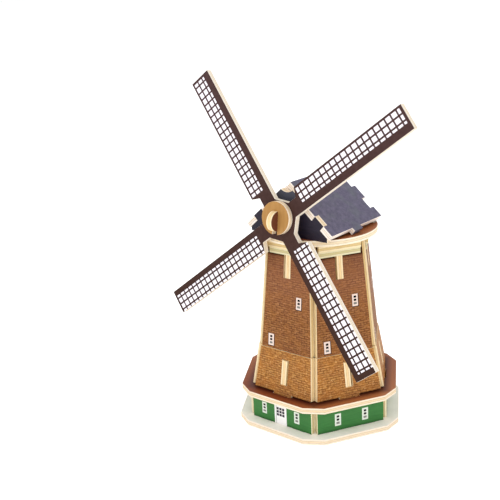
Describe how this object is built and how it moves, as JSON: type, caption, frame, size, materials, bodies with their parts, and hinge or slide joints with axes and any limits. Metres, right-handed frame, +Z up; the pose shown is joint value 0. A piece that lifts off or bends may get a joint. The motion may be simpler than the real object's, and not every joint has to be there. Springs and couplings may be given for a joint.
{
  "type": "wooden 3d jigsaw model windmill",
  "caption": "Flat-pack wooden windmill puzzle: six-sided printed plywood tower, gabled cap that turns and four lattice sails that spin.",
  "frame": {"origin": "centre of the underside of the base plate", "axes": "+Z up the tower, -Y towards the front with the door and the sails, +X to the right seen from the front"},
  "size_m": [0.1356, 0.0802, 0.1748],
  "materials": {
    "bare_ply": "matte",
    "printed_grey": "matte",
    "printed_green": "satin",
    "printed_brick": "satin",
    "printed_slate": "satin",
    "printed_navy": "satin",
    "printed_sail": "satin",
    "printed_tan": "satin",
    "dowel": "matte"
  },
  "bodies": {
    "tower": {"base_plate": "printed_grey", "base_wall_front": "printed_green", "base_wall_front_right": "printed_green", "base_wall_rear_right": "printed_green", "base_wall_rear": "printed_green", "base_wall_rear_left": "printed_green", "base_wall_front_left": "printed_green", "skirt_plate": "printed_brick", "lower_panel_front": "printed_brick", "lower_panel_front_right": "printed_brick", "lower_panel_rear_right": "printed_brick", "lower_panel_rear": "printed_brick", "lower_panel_rear_left": "printed_brick", "lower_panel_front_left": "printed_brick", "upper_panel_front": "printed_brick", "upper_panel_front_right": "printed_brick", "upper_panel_rear_right": "printed_brick", "upper_panel_rear": "printed_brick", "upper_panel_rear_left": "printed_brick", "upper_panel_front_left": "printed_brick", "rib_front_rear": "bare_ply", "rib_right": "bare_ply", "rib_left": "bare_ply", "lower_top_plate": "bare_ply", "upper_top_plate": "bare_ply"},
    "cap": {"cap_keeper": "bare_ply", "cap_pivot": "bare_ply", "cap_disc": "printed_brick", "front_gable": "printed_navy", "rear_gable": "printed_navy", "bearing_plate": "bare_ply", "right_roof": "printed_slate", "left_roof": "printed_slate"},
    "sails": {"sail_shaft": "dowel", "shaft_spacer": "bare_ply", "shaft_collar": "bare_ply", "sail_cross": "printed_sail", "hub_disc": "printed_tan", "hub_fin": "bare_ply"}
  },
  "joints": [
    {"name": "cap_turn", "type": "hinge", "parent": "tower", "child": "cap", "pos_m": [0, 0, 0.0951], "axis": [0, 0, 1], "continuous": true},
    {"name": "sail_spin", "type": "hinge", "parent": "cap", "child": "sails", "pos_m": [0, -0.03057, 0.1075], "axis": [0, -0.9932, 0.1167], "continuous": true}
  ]
}
